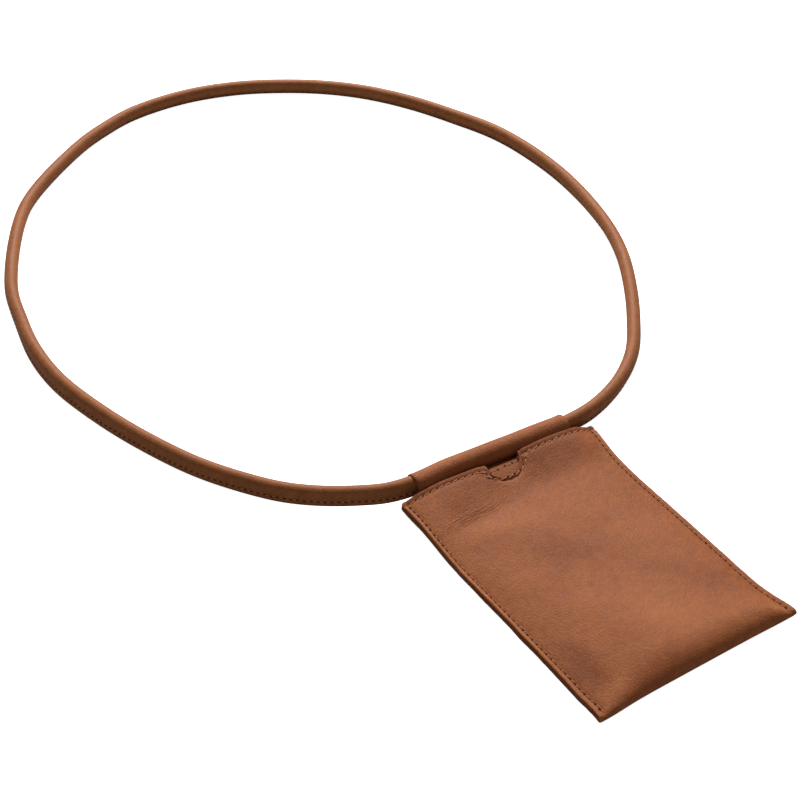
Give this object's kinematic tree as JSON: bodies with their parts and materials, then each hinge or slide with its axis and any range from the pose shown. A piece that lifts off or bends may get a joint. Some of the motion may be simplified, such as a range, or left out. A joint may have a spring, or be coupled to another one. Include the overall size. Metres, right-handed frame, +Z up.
{
  "type": "leather neck pouch for a phone",
  "caption": "Flat leather phone pouch, open at the top with a thumb notch, on a round leather neck cord that runs through a sleeve behind its mouth.",
  "frame": {"origin": "middle of the pouch with its sleeve, on the surface that the pouch lies on", "axes": "+X across the pouch to its right seam, +Y from the bottom fold to the mouth and on to the neck loop, +Z up out of the front panel"},
  "size_m": [0.3314, 0.5291, 0.0134],
  "materials": {
    "pouch_leather": "oiled, matt to satin, fine grain",
    "cord_leather": "oiled, satin"
  },
  "bodies": {
    "root": {"pouch_body": "pouch_leather", "cord_sleeve": "pouch_leather", "neck_cord": "cord_leather"}
  },
  "joints": []
}
